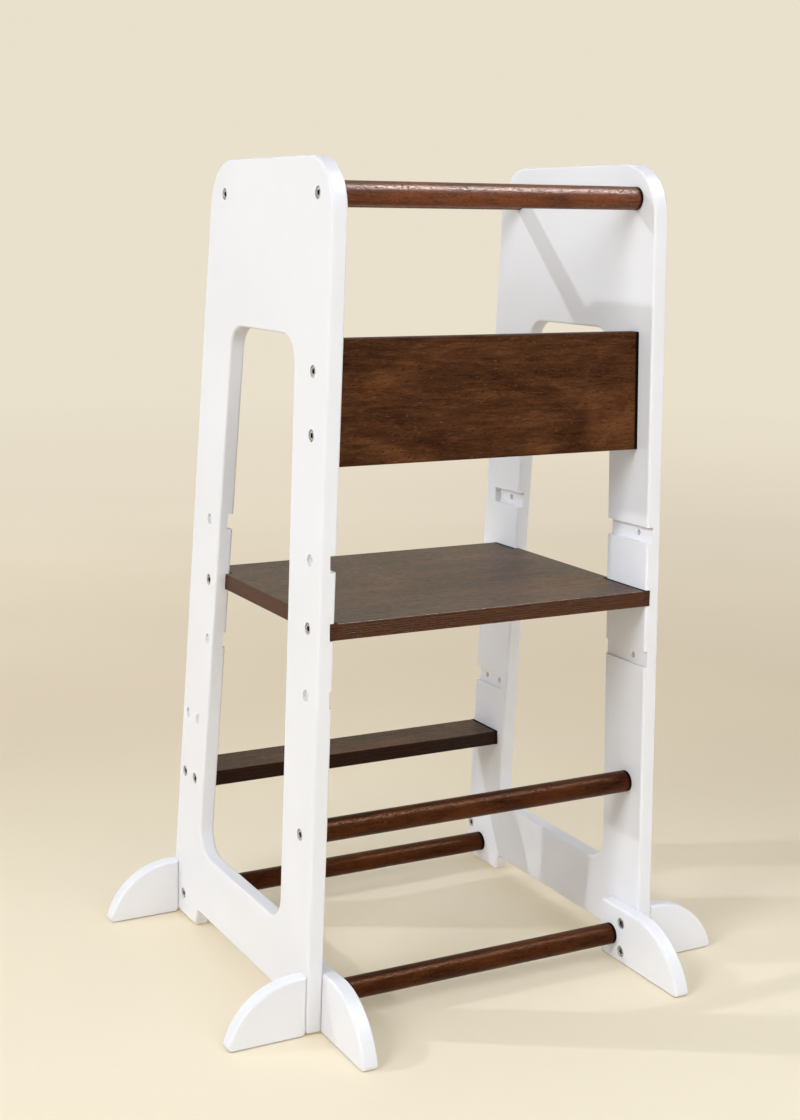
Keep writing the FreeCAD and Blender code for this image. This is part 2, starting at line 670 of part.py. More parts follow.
def toe(name, side, floor_block):
    """Front foot plate: lies flat on the panel's inner face and reaches forward."""
    level_top = "(Sizes.toe_reach + Sizes.toe_overlap - %s)" % CURVE_REACH
    blank = foot_blank(name, "YZ_Plane", side > 0, level_top, "0", -1, V(1, 0, 0))
    lean_over(blank, side)
    place(blank, "(%d) * Sizes.gap_at_floor / 2" % side, "%s + Sizes.toe_overlap" % front_edge("0"))
    rail_y, rail_z = RAILS["bottom_front_rail"]
    inner = "(%s - %s)" % (inner_face(rail_z), BOARD_ACROSS)
    tools = [floor_block,
             rod(name + "_rail_hole", side, "%s - %g" % (inner, CUT_THROUGH), rail_y, rail_z,
                 HOLE_RADIUS, "%s + %g" % (BOARD_ACROSS, 2 * CUT_THROUGH))]
    for n, z in enumerate(FOOT_BOLTS):
        inner = "(%s - %s)" % (inner_face(z), BOARD_ACROSS)
        tools.append(rod("%s_bolt_hole_%d" % (name, n), side, "%s - %g" % (inner, CUT_THROUGH),
                         FRONT_FOOT_Y, z, HOLE_RADIUS,
                         "%s + %g" % (BOARD_ACROSS, 2 * CUT_THROUGH)))
        tools.append(rod("%s_counterbore_%d" % (name, n), side,
                         "%s - %g" % (foot_bolt_floor(z, True), CUT_THROUGH),
                         FRONT_FOOT_Y, z, COUNTERBORE_RADIUS, "%g" % CUT_THROUGH))
    return keep(cut(name, blank, tools))


def outrigger(name, side, y, length):
    """Sideways foot: its end butts the panel's outer face, held by two bolts in its end."""
    blank = foot_blank(name, "XZ_Plane", False, "Sizes.foot_flat",
                       "Sizes.foot_height * %s" % LEAN, side, V(0, 1, 0))
    place(blank, "(%d) * %s" % (side, outer_face("0")), "%s + %s / 2" % (y, BOARD))
    tools = []
    for n, z in enumerate(FOOT_BOLTS):
        depth = foot_pilot_depth(z, length)
        tools.append(rod("%s_pilot_%d" % (name, n), side, "%s - %g" % (outer_face(z), CUT_THROUGH),
                         y, z, "Sizes.insert_diameter / 2 + Sizes.insert_fit",
                         "%s + %g" % (depth, CUT_THROUGH)))
    return keep(cut(name, blank, tools))


def foot_bolt_floor(z, at_toe):
    """Floor of a foot bolt's counterbore: in the toe, or in the panel's inner face."""
    face = "(%s - %s)" % (inner_face(z), BOARD_ACROSS) if at_toe else inner_face(z)
    return "(%s + %s)" % (face, COUNTERBORE_DEPTH)


def foot_pilot_depth(z, at_toe):
    length = LONG_BOLT if at_toe else "Sizes.bolt_length"
    return "(%s + %s - %s + Sizes.pocket_spare)" % (foot_bolt_floor(z, at_toe), length,
                                                    outer_face(z))


def build_feet():
    floor_block = block("floor_cutter", "-Sizes.gap_at_floor", "-Sizes.panel_depth",
                        "-%g" % CUT_THROUGH, "2 * Sizes.gap_at_floor",
                        "2 * Sizes.panel_depth", "%g" % CUT_THROUGH)
    inserts = []
    for place_name, y, at_toe in (("front", FRONT_FOOT_Y, True), ("rear", REAR_FOOT_Y, False)):
        bolts = []
        length = LONG_BOLT if at_toe else "Sizes.bolt_length"
        for hand, side in SIDES.items():
            outrigger("%s_outrigger_%s" % (place_name, hand), side, y, at_toe)
            for n, z in enumerate(FOOT_BOLTS):
                tag = "%s_foot_%s_%d" % (place_name, hand, n)
                bolts.append(bolt(tag + "_bolt", side, foot_bolt_floor(z, at_toe), y, z, length,
                                  False))
                inserts.append(insert(tag + "_insert", side, outer_face(z), y, z, False))
        group(place_name + "_foot_bolts", bolts)
    for hand, side in SIDES.items():
        toe("toe_%s" % hand, side, floor_block)
    group("foot_inserts", inserts)


# ---------------------------------------------------------------- build, check and write
for hand, side in SIDES.items():
    keep(side_panel("side_panel_" + hand, side))
between_panels = space_between("between_panels")
between_toes = space_between("between_toes", BOARD_ACROSS)
build_rails(between_panels, between_toes)
guard_board(between_panels)
platform_and_step()
build_feet()
doc.recompute()

failed = [o.Name for o in doc.Objects if "Invalid" in o.State or "Error" in o.State]
if failed:
    sys.exit("these objects failed: " + ", ".join(failed))
for piece in finished:
    if piece.Shape.isNull() or not piece.Shape.isValid() or not piece.Shape.Solids:
        sys.exit("not a valid solid: " + piece.Label)
os.makedirs("parts", exist_ok=True)
for piece in finished:
    piece.Shape.exportStep("parts/%s.step" % piece.Label)
    box = piece.Shape.BoundBox
    print("%-26s %2d solids %10.1f mm3  x %7.1f %7.1f  y %7.1f %7.1f  z %6.1f %6.1f" % (
        piece.Label, len(piece.Shape.Solids), piece.Shape.Volume, box.XMin, box.XMax,
        box.YMin, box.YMax, box.ZMin, box.ZMax))
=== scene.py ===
"""Finishes, rails, bolts and studio of a helper stool for a toddler, built on its packed CAD model.

Two white panels lean in towards each other and carry dark round rails, a guard board, a standing
platform and a rear step.  Everything is in metres, in the CAD model's frame: +Z up, X along the
rails, the guard board at the front (-Y).
"""
import math

import bpy
import numpy as np
from mathutils import Matrix, Vector


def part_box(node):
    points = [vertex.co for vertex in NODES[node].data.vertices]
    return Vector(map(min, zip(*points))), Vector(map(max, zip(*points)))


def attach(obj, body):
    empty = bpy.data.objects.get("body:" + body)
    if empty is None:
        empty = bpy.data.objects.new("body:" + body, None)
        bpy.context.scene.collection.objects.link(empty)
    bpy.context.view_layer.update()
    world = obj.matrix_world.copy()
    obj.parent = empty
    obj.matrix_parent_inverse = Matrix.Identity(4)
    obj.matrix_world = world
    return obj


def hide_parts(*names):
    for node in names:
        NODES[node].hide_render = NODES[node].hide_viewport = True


bl_info = {
    "name": "Toddler helper stool",
    "version": (1, 0, 0),
    "blender": (4, 5, 0),
    "location": "3D View > Sidebar > Stool",
    "description": "Paint, stained wood, bolts and studio of a helper stool",
    "category": "Object",
}

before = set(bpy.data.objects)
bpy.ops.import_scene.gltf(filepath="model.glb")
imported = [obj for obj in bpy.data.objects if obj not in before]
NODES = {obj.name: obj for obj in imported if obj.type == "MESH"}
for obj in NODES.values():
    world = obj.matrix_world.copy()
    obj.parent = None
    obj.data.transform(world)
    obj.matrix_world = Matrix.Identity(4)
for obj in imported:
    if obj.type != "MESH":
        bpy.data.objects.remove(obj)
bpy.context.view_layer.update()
BODY = "root"

# the panels' inner faces stand HALF_GAP from the middle at the floor and lean in
LEAN = math.tan(math.radians(1.5))
HALF_GAP = 0.205
# the panels' windows along Y at the platform's height, where the platform's ends stand free
WINDOW = (-0.076, 0.124)
BOARD_THICKNESS = 0.018
PLIES = 7
# a bolt's head and shank in the CAD model, and a reach in Y and Z that holds one bolt but not two
HEAD_HEIGHT = 0.003
SHANK_RADIUS = 0.0029
BOLT_REACH = 0.0125
# the studio: its floor, the middle of the floor's shaded part, and two level directions
FLOOR_RADIUS = 7.0
SHADED_MIDDLE = (-0.2, -0.35, 0.0)
TO_BACKDROP = (0.466, 0.885, 0.0)
TO_LAMPS = (-0.885, 0.466, 0.0)

# painted contact shadow: the dark colour the paint takes just above the floor
CONTACT_SHADOW_COLOUR = (0.09, 0.07, 0.055)
# painted shade of the gaps where the rails and boards meet the panels
JOINT_GAP_SHADE = (0.003, 0.002, 0.0015)

PAINTED = ("side_panel_left", "side_panel_right", "toe_left", "toe_right",
           "front_outrigger_left", "front_outrigger_right",
           "rear_outrigger_left", "rear_outrigger_right")
RAILS = ("top_front_rail", "top_rear_rail", "lower_front_rail", "bottom_front_rail",
         "bottom_rear_rail")
# specular level and tint of the varnish
TOP_RAIL_GLOSS = (0.36, (1.0, 0.74, 0.62))
LOW_RAIL_GLOSS = (0.13, (1.0, 0.45, 0.22))
# each board's thickness axis, specular level, setting of its palest ply, and free span along Y
BOARDS = {"guard_board": ("Y", 0.06, "edge_light", None),
          "platform": ("Z", 0.5, "edge_light", WINDOW),
          "step": ("Z", 0.24, "step_ply_shade", None)}
INSERTS = ("top_rail_inserts", "lower_rail_inserts", "bottom_rail_inserts", "guard_inserts",
           "platform_inserts", "step_inserts", "foot_inserts")
OUTSIDE_BOLTS = ("top_rail_bolts", "lower_rail_bolts", "bottom_front_rail_bolts",
                 "bottom_rear_rail_bolts", "guard_bolts", "platform_bolts", "step_bolts")
INSIDE_BOLTS = ("front_foot_bolts", "rear_foot_bolts")


# ---------------------------------------------------------------- sizes and colours a user changes
class PaintSettings(bpy.types.PropertyGroup):
    """White paint of the panels and feet."""
    colour: bpy.props.FloatVectorProperty(
        name="Paint", description="Colour of the paint", subtype="COLOR", size=3,
        min=0, max=1, default=(0.84, 0.825, 0.85))
    shade: bpy.props.FloatVectorProperty(
        name="Thin paint", description="Colour where the paint lies thinner", subtype="COLOR",
        size=3, min=0, max=1, default=(0.812, 0.797, 0.812))
    gloss: bpy.props.FloatProperty(
        name="Roughness", description="Roughness of the paint", subtype="FACTOR",
        min=0, max=1, default=0.42)


class WoodSettings(bpy.types.PropertyGroup):
    """Stained wood of the rails and boards."""
    board_dark: bpy.props.FloatVectorProperty(
        name="Board, dark", description="Darkest stain on the boards", subtype="COLOR", size=3,
        min=0, max=1, default=(0.020, 0.0055, 0.0016))
    board_light: bpy.props.FloatVectorProperty(
        name="Board, light", description="Lightest stain on the boards", subtype="COLOR", size=3,
        min=0, max=1, default=(0.135, 0.050, 0.017))
    rail_dark: bpy.props.FloatVectorProperty(
        name="Rail, dark", description="Darkest stain on the rails", subtype="COLOR", size=3,
        min=0, max=1, default=(0.030, 0.0066, 0.0014))
    rail_light: bpy.props.FloatVectorProperty(
        name="Rail, light", description="Lightest stain on the rails", subtype="COLOR", size=3,
        min=0, max=1, default=(0.225, 0.056, 0.0125))
    edge_light: bpy.props.FloatVectorProperty(
        name="Ply, light", description="Palest ply of the platform and the guard board",
        subtype="COLOR", size=3, min=0, max=1, default=(0.105, 0.027, 0.005))
    # painted shade: the step's plies are much darker than the platform's, for the shade on the
    # step's front edge as well as a darker stain
    step_ply_shade: bpy.props.FloatVectorProperty(
        name="Step's ply", description="Palest ply of the step", subtype="COLOR", size=3,
        min=0, max=1, default=(0.008, 0.0025, 0.001))
    fleck: bpy.props.FloatVectorProperty(
        name="Fleck", description="Pale flecks in the grain", subtype="COLOR", size=3,
        min=0, max=1, default=(0.210, 0.095, 0.045))
    # painted shade: the low rails take a darker copy of the top rails' stain, for the weaker light
    # they get
    low_rail_shade: bpy.props.FloatProperty(
        name="Low rails", description="Stain of the three low rails, as a share of the top rails'",
        subtype="FACTOR", min=0, max=1, default=0.40)
    rail_arris: bpy.props.FloatProperty(
        name="Rail end chamfer", description="Chamfer round each rail's ends", unit="LENGTH",
        min=0.0001, max=0.003, default=0.0009)


class BoltSettings(bpy.types.PropertyGroup):
    """Socket-head bolts."""
    head: bpy.props.FloatProperty(
        name="Head diameter", description="Diameter of a bolt's head", unit="LENGTH",
        min=0.004, max=0.0125, default=0.012)
    socket: bpy.props.FloatProperty(
        name="Socket width", description="Width of the hexagon across its flats", unit="LENGTH",
        min=0.001, max=0.008, default=0.0045)
    colour: bpy.props.FloatVectorProperty(
        name="Blackened steel", description="Colour of the bolts", subtype="COLOR", size=3,
        min=0, max=1, default=(0.025, 0.025, 0.027))
    # painted highlight: the glint colour painted on the heads' flats that face along X
    glint: bpy.props.FloatVectorProperty(
        name="Rubbed steel", description="Colour of the heads where the blacking is rubbed off",
        subtype="COLOR", size=3, min=0, max=1, default=(0.80, 0.80, 0.81))


class StageSettings(bpy.types.PropertyGroup):
    """Floor, light and camera."""
    floor: bpy.props.FloatVectorProperty(
        name="Floor", description="Colour of the floor", subtype="COLOR", size=3,
        min=0, max=1, default=(0.92, 0.81, 0.635))
    floor_near: bpy.props.FloatVectorProperty(
        name="Floor's glow", description="Colour of the floor's own light under the object",
        subtype="COLOR", size=3, min=0, max=1, default=(0.66, 0.54, 0.32))
    # painted shade: the floor glow's dimmer colour a metre away, for the shade behind the object
    floor_far: bpy.props.FloatVectorProperty(
        name="Floor behind", description="Colour of the floor a metre away", subtype="COLOR",
        size=3, min=0, max=1, default=(0.665, 0.571, 0.429))
    floor_glow: bpy.props.FloatProperty(
        name="Floor glow", description="Share of the floor's own light near the object",
        subtype="FACTOR", min=0, max=1, default=0.2)
    backdrop: bpy.props.FloatVectorProperty(
        name="Backdrop", description="Colour behind the object", subtype="COLOR", size=3,
        min=0, max=1, default=(0.82, 0.75, 0.61))
    key: bpy.props.FloatProperty(
        name="Key lamp", description="Power of the hard lamp behind on the left",
        min=0, max=500, default=9.0)
    soft_box: bpy.props.FloatProperty(
        name="Soft box", description="Power of the soft box in front on the left",
        min=0, max=500, default=4.0)
    front: bpy.props.FloatProperty(
        name="Front", description="Power of the wide light in front",
        min=0, max=500, default=22.0)
    window: bpy.props.FloatProperty(
        name="Window", description="Power of the window that draws the rails' bright lines",
        min=0, max=500, default=170.0)
    lamps: bpy.props.FloatVectorProperty(
        name="Lamp light", description="Colour of every lamp's light", subtype="COLOR", size=3,
        min=0, max=1, default=(0.88, 0.94, 1.0))
    room: bpy.props.FloatProperty(
        name="Room", description="Brightness of the room in front, as a share of the backdrop",
        min=0, max=1, default=0.1)
    ambient: bpy.props.FloatProperty(
        name="Ambient", description="Strength of the light from all round",
        min=0, max=3, default=0.60)
    air: bpy.props.FloatVectorProperty(
        name="Ambient light", description="Colour of the light from all round", subtype="COLOR",
        size=3, min=0, max=1, default=(0.935, 0.965, 0.98))


SETTINGS = (("stool_paint", PaintSettings), ("stool_wood", WoodSettings),
            ("stool_bolts", BoltSettings), ("stool_stage", StageSettings))


# ---------------------------------------------------------------- surfaces
def grid_surface(points):
    """Points and quads of a surface given as points[u, v]: quads join each point to the next one
    along u and v, and v closes on itself.  Rings of one repeated point are merged later on."""
    rows, columns = points.shape[:2]
    index = np.arange(rows * columns).reshape(rows, columns)
    index = np.hstack([index, index[:, :1]])
    quads = np.stack([index[:-1, :-1], index[:-1, 1:], index[1:, 1:], index[1:, :-1]], axis=-1)
    return points.reshape(-1, 3), quads.reshape(-1, 4)


def build_piece(name, parts, stands_for, material, smooth_angle=40.0):
    """One object from several (points, quads) surfaces: doubles are merged, flat quads at the
    poles dissolve into triangles, normals point outwards, and it rides on the frame."""
    points, quads, start = [], [], 0
    for part_points, part_quads in parts:
        points.append(part_points)
        quads.append(part_quads + start)
        start += len(part_points)
    mesh = bpy.data.meshes.new(name)
    mesh.from_pydata(np.vstack(points).tolist(), [], np.vstack(quads).tolist())
    piece = bpy.data.objects.new(name, mesh)
    bpy.context.scene.collection.objects.link(piece)
    bpy.ops.object.select_all(action="DESELECT")
    piece.select_set(True)
    bpy.context.view_layer.objects.active = piece
    bpy.ops.object.mode_set(mode="EDIT")
    bpy.ops.mesh.select_all(action="SELECT")
    bpy.ops.mesh.remove_doubles(threshold=1e-6)
    bpy.ops.mesh.dissolve_degenerate(threshold=1e-6)
    bpy.ops.mesh.normals_make_consistent(inside=False)
    bpy.ops.object.mode_set(mode="OBJECT")
    bpy.ops.object.shade_smooth_by_angle(angle=math.radians(smooth_angle))
    mesh.materials.append(material)
    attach(piece, BODY)
    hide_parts(*stands_for)


def dress(names, material):
    """Give CAD nodes a better material in place of their plain one."""
    for name in names:
        mesh = NODES[name].data
        mesh.materials.clear()
        mesh.materials.append(material)


# ---------------------------------------------------------------- finishes
class Finish:
    """A material with one surface shader, and short calls that add nodes to it."""

    def __init__(self, name):
        self.material = bpy.data.materials.new(name)
        self.material.use_nodes = True
        self.tree = self.material.node_tree
        self.tree.nodes.clear()
        self.shader = self.add("ShaderNodeBsdfPrincipled")
        self.output = self.add("ShaderNodeOutputMaterial", {"Surface": self.shader.outputs[0]})
        self.place = self.add("ShaderNodeTexCoord").outputs["Object"]

    def feed(self, socket, value):
        """Link a socket to another node's output, or set it to a plain value."""
        if isinstance(value, bpy.types.NodeSocket):
            self.tree.links.new(value, socket)
        else:
            socket.default_value = value

    def add(self, kind, inputs=None, **settings):
        """Node of a kind, with its settings and its inputs by name or number."""
        node = self.tree.nodes.new(kind)
        for key, value in settings.items():
            setattr(node, key, value)
        for key, value in (inputs or {}).items():
            self.feed(node.inputs[key], value)
        return node

    def surface(self, **inputs):
        """Feed the shader's own sockets; an underscore in a name stands for a space."""
        for key, value in inputs.items():
            self.feed(self.shader.inputs[key.replace("_", " ")], value)

    def math(self, operation, a, b=0.0, c=0.0):
        return self.add("ShaderNodeMath", {0: a, 1: b, 2: c}, operation=operation).outputs[0]

    def axis(self, source, name):
        """One coordinate of a vector."""
        return self.add("ShaderNodeSeparateXYZ", {"Vector": source}).outputs[name]

    def facing(self, axis):
        """How squarely the surface faces along an axis, whichever way round: 1 is straight."""
        normal = self.add("ShaderNodeNewGeometry").outputs["Normal"]
        return self.math("ABSOLUTE", self.axis(normal, axis))

    def stretched(self, scale):
        """Object coordinates scaled along each axis."""
        return self.add("ShaderNodeMapping", {"Vector": self.place, "Scale": scale}).outputs[0]

    def noise(self, vector, scale, detail=3.0, roughness=0.5, distortion=0.0):
        return self.add("ShaderNodeTexNoise", {
            "Vector": vector, "Scale": scale, "Detail": detail, "Roughness": roughness,
            "Distortion": distortion}).outputs["Fac"]

    def span(self, value, low, high, to_low=0.0, to_high=1.0):
        """Change of range, clamped, with a smooth start and end."""
        return self.add("ShaderNodeMapRange", {
            "Value": value, "From Min": low, "From Max": high, "To Min": to_low,
            "To Max": to_high}, interpolation_type="SMOOTHSTEP").outputs[0]

    def ramp(self, factor, *stops):
        """Colour ramp through (position, colour) stops."""
        node = self.add("ShaderNodeValToRGB", {"Fac": factor})
        band = node.color_ramp
        while len(band.elements) < len(stops):
            band.elements.new(0.5)
        for element, (position, colour) in zip(band.elements, stops):
            element.position = position
            element.color = (*colour, 1.0)
        return node.outputs["Color"]

    def mix(self, factor, a, b):
        """Blend of two colours, each a triple or another node's output."""
        node = self.add("ShaderNodeMix", {0: factor}, data_type="RGBA")
        for socket, colour in ((node.inputs[6], a), (node.inputs[7], b)):
            linked = isinstance(colour, bpy.types.NodeSocket)
            self.feed(socket, colour if linked else (*colour, 1.0))
        return node.outputs[2]

    def bump(self, height, depth, after=None):
        inputs = {"Height": height, "Strength": 1.0, "Distance": depth}
        if after is not None:
            inputs["Normal"] = after
        return self.add("ShaderNodeBump", inputs).outputs[0]


def blend(a, b, share):
    """Colour that takes its share from b and the rest from a."""
    return tuple((1 - share) * p + share * q for p, q in zip(a, b))


def white_paint(paint):
    """Sprayed satin paint: faint clouds, orange peel about 1.5 mm across, a few dust specks, and a
    painted contact shadow, dark, in the last millimetre and a half above the floor."""
    finish = Finish("White satin paint")
    clouds = finish.noise(finish.place, 5.0)
    peel = finish.noise(finish.place, 620.0, 2.0)
    dust = finish.span(finish.noise(finish.place, 1400.0, 1.0), 0.80, 0.86)
    colour = finish.mix(finish.span(clouds, 0.30, 0.70), paint.shade, paint.colour)
    # painted contact shadow: the paint darkens over the last 1.6 mm above the floor
    contact_shadow = finish.span(finish.axis(finish.place, "Z"), 0.0016, 0.0006)
    colour = finish.mix(finish.math("MULTIPLY", contact_shadow, 0.8), colour, CONTACT_SHADOW_COLOUR)
    finish.surface(Base_Color=colour, IOR=1.46, Specular_IOR_Level=0.25,
                   Roughness=finish.span(peel, 0.2, 0.8, paint.gloss - 0.05, paint.gloss + 0.06),
                   Normal=finish.bump(dust, 0.00002, finish.bump(peel, 0.00003)))
    return finish.material


def joint_shadow(finish, colour, gap, free=None):
    """Painted shade of the gap, dark and matt, in the last millimetres of a piece before the face
    it meets, where |x| + z tan(lean) nears the gap, but not along a free span of Y, where nothing
    meets it.  Returns where that is, from 0 to 1, and the darkened colour."""
    across = finish.math("ABSOLUTE", finish.axis(finish.place, "X"))
    reach = finish.math("MULTIPLY_ADD", finish.axis(finish.place, "Z"), LEAN, across)
    near = finish.span(reach, gap - 0.0050, gap - 0.0030)
    if free:
        low, high = free
        inside = finish.math("COMPARE", finish.axis(finish.place, "Y"), (low + high) / 2,
                             (high - low) / 2)
        near = finish.math("MULTIPLY", near, finish.math("SUBTRACT", 1.0, inside))
    return near, finish.mix(finish.math("MULTIPLY", near, 0.96), colour, JOINT_GAP_SHADE)


def rail_stain(name, wood, gap, tone, gloss, tint):
    """Turned hardwood under a red-brown stain: blotches, fibres, short dark pores and pale flecks,
    under a satin varnish that the pores break up."""
    finish = Finish(name)
    blotch = finish.noise(finish.stretched((3.0, 9.0, 9.0)), 5.0, 3.0, 0.55)
    fibre = finish.noise(finish.stretched((1.0, 8.0, 8.0)), 60.0, 5.0, 0.6, 0.6)
    pore = finish.noise(finish.stretched((1.0, 2.0, 2.0)), 330.0, 2.0, 0.6, 0.5)
    grain = finish.math("MULTIPLY_ADD", blotch, 0.5, finish.math("MULTIPLY", fibre, 0.5))
    low, high, spot = (tuple(tone * part for part in colour)
                       for colour in (wood.rail_dark, wood.rail_light, wood.fleck))
    colour = finish.ramp(grain, (0.36, low), (0.5, blend(low, high, 0.5)), (0.64, high))
    dark = finish.span(pore, 0.44, 0.32)
    fleck = finish.span(pore, 0.58, 0.68)
    colour = finish.mix(finish.math("MULTIPLY", dark, 0.75), colour, low)
    colour = finish.mix(finish.math("MULTIPLY", fleck, 0.7), colour, spot)
    near, colour = joint_shadow(finish, colour, gap)
    rough = finish.math("MAXIMUM", near, finish.span(pore, 0.3, 0.7, 0.50, 0.30))
    height = finish.math("SUBTRACT", fibre, finish.math("MULTIPLY", dark, 0.9))
    finish.surface(Base_Color=colour, Roughness=rough, Normal=finish.bump(height, 0.00024),
                   IOR=1.5, Specular_IOR_Level=gloss, Specular_Tint=(*tint, 1))
    return finish.material


def board_stain(name, wood, thickness_axis, middle, edge_light, gloss, free):
    """Walnut-stained plywood board: mottled face veneer with wavy flecks along X, and plies on
    its edges, measured across the thickness from the middle of the board."""
    finish = Finish(name)
    mottle = finish.noise(finish.stretched((1.5, 4.0, 4.0)), 4.4, 4.0, 0.6, 0.8)
    streak = finish.noise(finish.stretched((1.0, 9.0, 9.0)), 14.0, 6.0, 0.65, 1.2)
    fibre = finish.noise(finish.stretched((1.0, 6.0, 6.0)), 95.0, 3.0, 0.6, 0.8)
    pore = finish.noise(finish.stretched((1.0, 4.0, 4.0)), 190.0, 2.0, 0.5, 0.6)
    tone = finish.math("MULTIPLY_ADD", mottle, 0.46, finish.math("MULTIPLY", streak, 0.32))
    tone = finish.math("MULTIPLY_ADD", fibre, 0.22, tone)
    between = blend(wood.board_dark, wood.board_light, 0.4)
    face = finish.ramp(tone, (0.38, wood.board_dark), (0.50, between), (0.62, wood.board_light))
    dark = finish.span(pore, 0.43, 0.31)
    fleck = finish.span(pore, 0.63, 0.72)
    face = finish.mix(finish.math("MULTIPLY", dark, 0.75), face, wood.board_dark)
    face = finish.mix(finish.math("MULTIPLY", fleck, 0.5), face, wood.fleck)
    near, face = joint_shadow(finish, face, HALF_GAP, free)

    # the plies go light and dark in turn, and a noise makes their borders waver
    across = finish.axis(finish.place, thickness_axis)
    depth = finish.math("DIVIDE", finish.math("SUBTRACT", across, middle), BOARD_THICKNESS)
    layer = finish.math("MULTIPLY_ADD", depth, PLIES / 2, PLIES / 2 + 0.25)
    waver = finish.noise(finish.stretched((1.0, 3.0, 3.0)), 60.0)
    layer = finish.math("MULTIPLY_ADD", waver, 0.35, finish.math("PINGPONG", layer, 0.5))
    ply = finish.ramp(layer, (0.20, wood.rail_dark), (0.45, edge_light), (0.68, wood.board_dark))
    ply = finish.mix(finish.math("MULTIPLY", dark, 0.6), ply, wood.board_dark)
    colour = finish.mix(finish.span(finish.facing(thickness_axis), 0.75, 0.55), face, ply)

    rough = finish.math("MAXIMUM", near, finish.span(fibre, 0.3, 0.7, 0.36, 0.54))
    height = finish.math("SUBTRACT", fibre, dark)
    finish.surface(Base_Color=colour, Roughness=rough, Normal=finish.bump(height, 0.00020),
                   IOR=1.42, Specular_IOR_Level=gloss, Specular_Tint=(1.0, 0.92, 0.80, 1))
    return finish.material


def blackened_steel(bolts):
    """Blackened steel with a painted glint: the flats of the heads, which face along X, are painted
    bright in noise patches, and the rims that turn away keep the dark steel.
    """
    finish = Finish("Blackened steel")
    glint_patch = finish.noise(finish.place, 900.0)
    # painted highlight: a glint on surfaces facing along X, broken into patches by noise
    bright = finish.math("MULTIPLY", finish.span(finish.facing("X"), 0.84, 0.97),
                         finish.span(glint_patch, 0.38, 0.58, 0.25, 1.0))
    finish.surface(Base_Color=finish.mix(bright, bolts.colour, bolts.glint), Metallic=1.0,
                   Roughness=finish.span(glint_patch, 0.3, 0.7, 0.36, 0.52),
                   Normal=finish.bump(glint_patch, 0.00002))
    return finish.material


def plain_brass():
    """Turned brass of the threaded inserts, with fine rings along X."""
    finish = Finish("Turned brass")
    rings = finish.noise(finish.stretched((1.0, 0.02, 0.02)), 1500.0, 1.0)
    finish.surface(Base_Color=finish.mix(rings, (0.62, 0.45, 0.20), (0.80, 0.62, 0.32)),
                   Metallic=1.0, Roughness=finish.span(rings, 0.3, 0.7, 0.28, 0.40),
                   Normal=finish.bump(rings, 0.00004))
    return finish.material


# ---------------------------------------------------------------- rails
def dowel_surface(y, z, radius, arris, margin):
    """Dowel along X from one leaning panel to the other.  Ring u has radius r(u), which rises
    from 0 at the middle of the end over the chamfer to the full radius and back, and lies at
    x = s(u) (half gap - margin - height * tan(lean)) + inset(u); angle v runs round the axis."""
    turn = np.linspace(0, 2 * math.pi, 64, endpoint=False)
    # radius and inset of the rings at one end: a flat, a rounded chamfer and the first of the bar
    ends = np.array([[0.0, 0.0], [radius - 1.6 * arris, 0.0], [radius - arris, 0.0],
                     [radius - 0.3 * arris, 0.35 * arris], [radius, arris], [radius, 3 * arris]])
    share = np.linspace(-1, 1, 41)[1:-1]
    ring_radius = np.concatenate([ends[:, 0], np.full(len(share), radius), ends[::-1, 0]])
    inset = np.concatenate([ends[:, 1], np.zeros(len(share)), -ends[::-1, 1]])
    side = np.concatenate([-np.ones(len(ends)), share, np.ones(len(ends))])
    # a turned dowel is never quite true: a long shallow wave of two hundredths of a millimetre
    wave = 1 + 0.0016 * np.sin(9.0 * side + 0.7)
    ring_y = y + np.outer(ring_radius * wave, np.cos(turn))
    ring_z = z + np.outer(ring_radius * wave, np.sin(turn))
    reach = HALF_GAP - margin - LEAN * ring_z
    ring_x = side[:, None] * reach + inset[:, None]
    return grid_surface(np.stack([ring_x, ring_y, ring_z], axis=-1))


# ---------------------------------------------------------------- bolts
def bolt_rings(head, socket, shank_radius, length):
    """Profile of a socket-head bolt from the middle of its socket outwards and down to its tip:
    rows of (flat radius, round radius, height).  A ring is a hexagon where only the flat radius
    is given, a circle where only the round one is, and height 0 is under the head."""
    rim, flat = head / 2, socket / 2
    return np.array([
        [0.0, 0.0, 0.0004], [flat * 0.55, 0.0, 0.0007], [flat, 0.0, 0.0009],
        [flat, 0.0, 0.0022], [flat * 1.02, 0.0, 0.0024], [flat * 1.16, 0.0, 0.00265],
        [0.0, flat * 1.55, 0.0029], [0.0, rim * 0.82, 0.0028], [0.0, rim * 0.93, 0.00255],
        [0.0, rim * 0.985, 0.0021], [0.0, rim, 0.0015], [0.0, rim, 0.0002],
        [0.0, rim * 0.985, 0.0], [0.0, shank_radius, 0.0], [0.0, shank_radius, -length + 0.0008],
        [0.0, shank_radius - 0.0007, -length], [0.0, 0.0, -length]])


def bolt_surface(floor, way, rings):
    """Bolt whose head stands on the floor of a counterbore and looks along way (+1 or -1 on X).
    Ring radius at angle v is flat / cos(v mod 60 deg - 30 deg) on a hexagon, else its radius."""
    turn = np.linspace(0, 2 * math.pi, 48, endpoint=False)
    hexagon = 1 / np.cos(np.mod(turn, math.pi / 3) - math.pi / 6)
    radius = np.outer(rings[:, 0], hexagon) + rings[:, 1][:, None]
    x = floor[0] + way * np.repeat(rings[:, 2][:, None], len(turn), axis=1)
    y = floor[1] + radius * np.cos(turn)
    z = floor[2] + radius * np.sin(turn)
    return grid_surface(np.stack([x, y, z], axis=-1))


